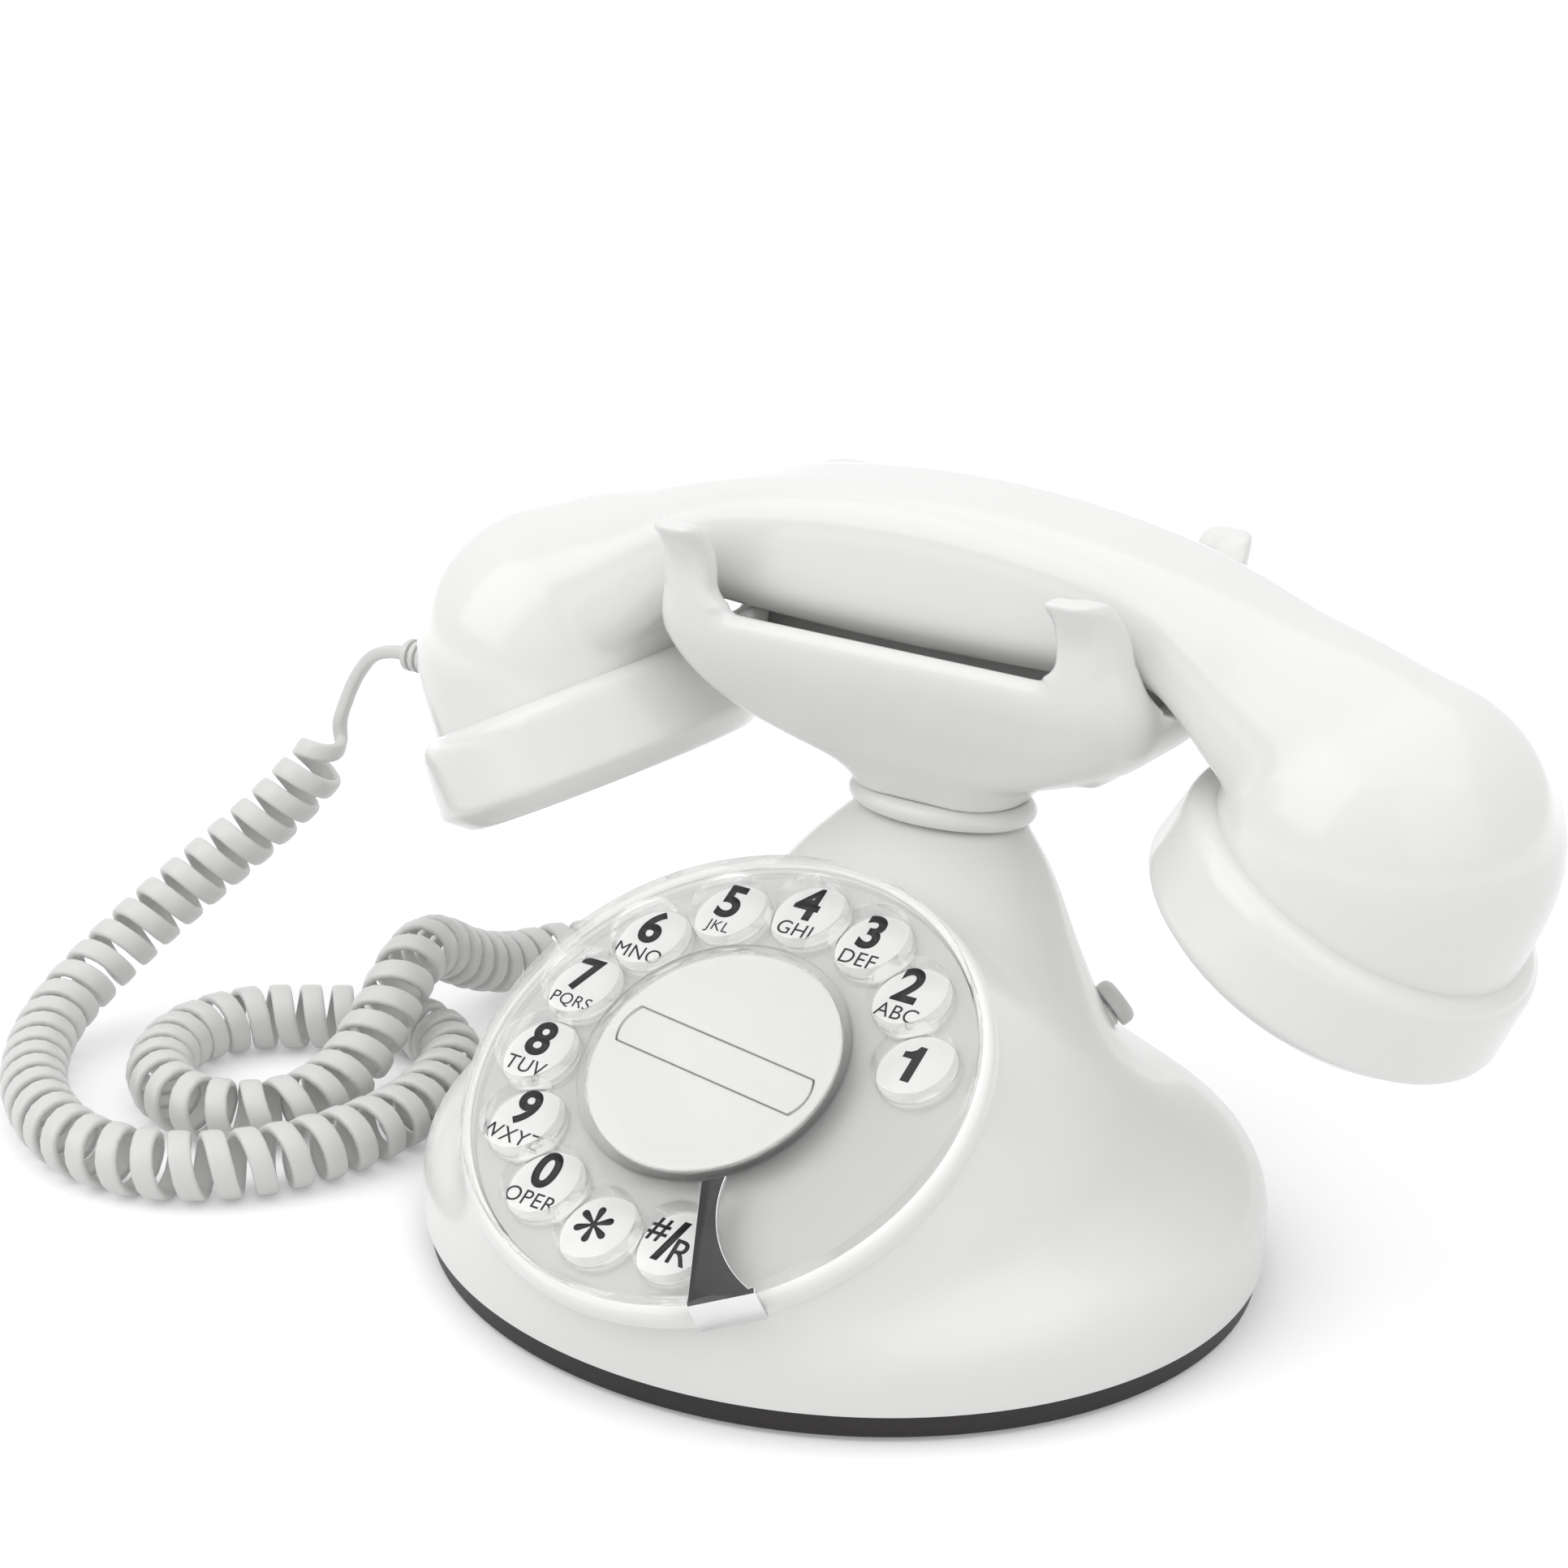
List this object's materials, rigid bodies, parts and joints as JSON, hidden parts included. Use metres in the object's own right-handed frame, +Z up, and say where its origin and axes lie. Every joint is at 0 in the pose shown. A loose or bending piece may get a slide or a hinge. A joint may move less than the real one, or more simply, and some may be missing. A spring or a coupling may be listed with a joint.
{
  "type": "retro desk telephone",
  "caption": "Retro desk telephone: clear finger dial on a flared pedestal base, arched handset across a pronged cradle, curly handset cord.",
  "frame": {"origin": "on the table under the middle of the base", "axes": "+X to the telephone's right, -Y to its dial side, +Z up"},
  "size_m": [0.2738, 0.1465, 0.1255],
  "materials": {
    "white_plastic": "glossy moulded plastic",
    "dark_plastic": "fine matt",
    "foot_rubber": "matt",
    "steel": "plain",
    "chrome_trim": "polished",
    "clear_plastic": "clear polished",
    "number_white": "glossy with black figures",
    "card_paper": "printed card",
    "brass_gear": "plain",
    "grey_plastic": "fine matt",
    "board_green": "plain",
    "cord_white": "satin"
  },
  "bodies": {
    "base": {"base_plate": "dark_plastic", "rubber_feet": "foot_rubber", "base_screws": "steel", "body_shell": "white_plastic", "neck_ring": "white_plastic", "cradle": "white_plastic", "cradle_screws": "steel", "dial_bezel": "white_plastic", "number_plate": "number_white", "finger_stop": "chrome_trim", "dial_frame": "steel", "dial_bush": "brass_gear", "dial_contacts": "grey_plastic", "return_spring": "steel", "circuit_board": "board_green", "board_screws": "steel", "ringer": "grey_plastic", "hook_switch": "grey_plastic", "volume_control": "grey_plastic", "line_jack": "grey_plastic", "cord_grommet": "cord_white", "handset_cord": "cord_white"},
    "dial": {"finger_wheel": "clear_plastic", "number_card": "card_paper", "card_window": "clear_plastic", "dial_shaft": "steel", "hub_screw": "steel", "dial_gear": "brass_gear"},
    "governor": {"governor_pinion": "brass_gear", "governor_rotor": "steel"},
    "hook": {"hook_bar": "grey_plastic", "hook_spring": "steel"},
    "knob": {"volume_knob": "grey_plastic", "volume_shaft": "steel"},
    "handset": {"handset_shell": "white_plastic", "ear_cap": "white_plastic", "mouth_cap": "white_plastic", "receiver_capsule": "grey_plastic", "microphone_capsule": "grey_plastic", "cord_bush": "cord_white"}
  },
  "joints": [
    {"name": "handset_lift", "type": "slide", "parent": "base", "child": "handset", "axis": [0, 0, 1], "range_m": [0, 0.08], "deforming": ["handset_cord"]},
    {"name": "hook_rise", "type": "slide", "parent": "base", "child": "hook", "axis": [0, 0, 1], "range_m": [0, 0.004], "stiffness_N_per_m": 120, "springref_m": 0.004, "deforming": ["hook_spring"]},
    {"name": "dial_spin", "type": "hinge", "parent": "base", "child": "dial", "pos_m": [0, -0.0385, 0.0456], "axis": [0, 0.5314, -0.8471], "range_deg": [0, 330], "stiffness_Nm_per_rad": 0.004, "springref_deg": -34.38, "deforming": ["return_spring"]},
    {"name": "governor_spin", "type": "hinge", "parent": "base", "child": "governor", "pos_m": [0, -0.01817, 0.05835], "axis": [0, 0.5314, -0.8471], "range_deg": [-1010, 5]},
    {"name": "volume_turn", "type": "hinge", "parent": "base", "child": "knob", "pos_m": [0.014, 0.017, 0.0188], "axis": [0.5265, 0.6275, 0.5736], "range_deg": [-135, 135]}
  ],
  "couplings": [
    {"joint": "governor_spin", "follows": "dial_spin", "ratio": -3},
    {"joint": "hook_rise", "follows": "handset_lift", "ratio": 0.05}
  ]
}
